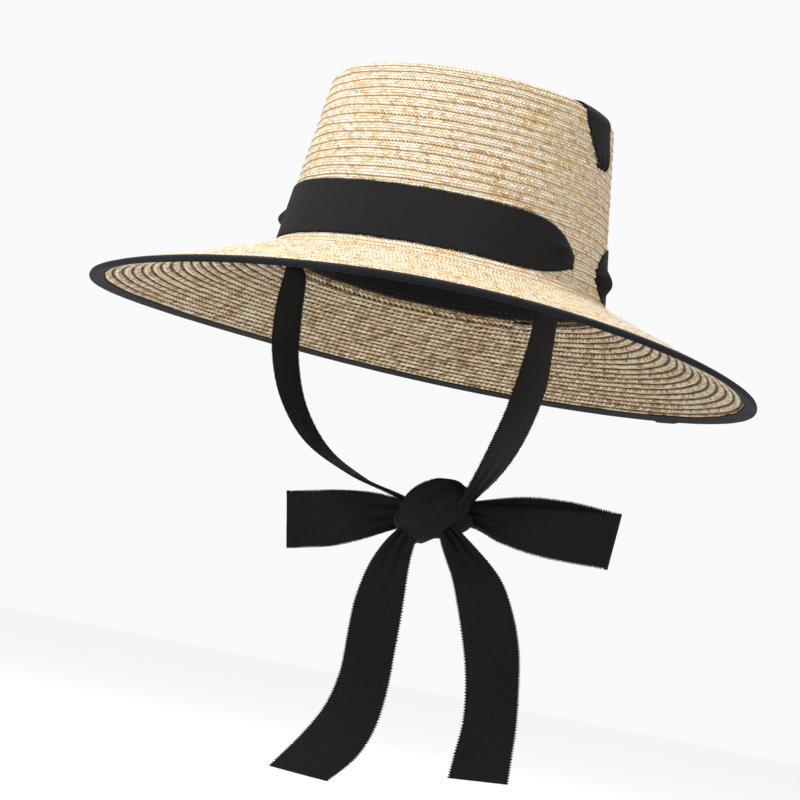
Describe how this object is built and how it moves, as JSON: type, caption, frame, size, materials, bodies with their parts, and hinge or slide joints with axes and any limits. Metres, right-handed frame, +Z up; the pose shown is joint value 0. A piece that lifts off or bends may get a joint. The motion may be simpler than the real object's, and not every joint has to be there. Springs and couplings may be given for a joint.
{
  "type": "straw sun hat",
  "caption": "Wide-brimmed straw sun hat with a flat crown, black grosgrain band threaded through slits, bound rim and chin ties in a bow",
  "frame": {"origin": "middle of the head opening, in the plane where the crown meets the brim", "axes": "+Z up along the crown, -Y towards the brow, +X towards the wearer's left"},
  "size_m": [0.3512, 0.4004, 0.3731],
  "materials": {
    "straw_braid": "satin",
    "black_grosgrain": "matte",
    "edge_binding": "matte",
    "sweatband_cloth": "matte",
    "black_thread": "matte",
    "steel_wire": "satin"
  },
  "bodies": {
    "hat": {"crown_tip": "straw_braid", "crown_side": "straw_braid", "brim": "straw_braid", "brim_wire": "steel_wire", "wire_joiner": "steel_wire", "brim_binding": "edge_binding", "binding_thread": "black_thread", "sweatband": "sweatband_cloth", "sweatband_thread": "black_thread", "front_band": "black_grosgrain", "back_band": "black_grosgrain", "crown_strap": "black_grosgrain"},
    "ties": {"tie_left": "black_grosgrain", "tie_right": "black_grosgrain", "bow_knot": "black_grosgrain"},
    "loop_left": {"bow_loop_left": "black_grosgrain"},
    "loop_right": {"bow_loop_right": "black_grosgrain"},
    "tail_left": {"bow_tail_left": "black_grosgrain"},
    "tail_right": {"bow_tail_right": "black_grosgrain"}
  },
  "joints": [
    {"name": "ties_swing", "type": "hinge", "parent": "hat", "child": "ties", "pos_m": [0, -0.021, -0.005], "axis": [1, 0, 0], "range_deg": [-35, 30]},
    {"name": "loop_left_flap", "type": "hinge", "parent": "ties", "child": "loop_left", "pos_m": [0.018, -0.0155, -0.126], "axis": [0, 1, 0], "range_deg": [-25, 5], "stiffness_Nm_per_rad": 0.03},
    {"name": "loop_right_flap", "type": "hinge", "parent": "ties", "child": "loop_right", "pos_m": [0.048, -0.0155, -0.122], "axis": [0, -1, 0], "range_deg": [-25, 5], "stiffness_Nm_per_rad": 0.03},
    {"name": "tail_left_swing", "type": "hinge", "parent": "ties", "child": "tail_left", "pos_m": [0.018, -0.0255, -0.142], "axis": [1, 0, 0], "range_deg": [-35, 4]},
    {"name": "tail_right_swing", "type": "hinge", "parent": "ties", "child": "tail_right", "pos_m": [0.054, -0.0255, -0.137], "axis": [1, 0, 0], "range_deg": [-35, 4]}
  ]
}
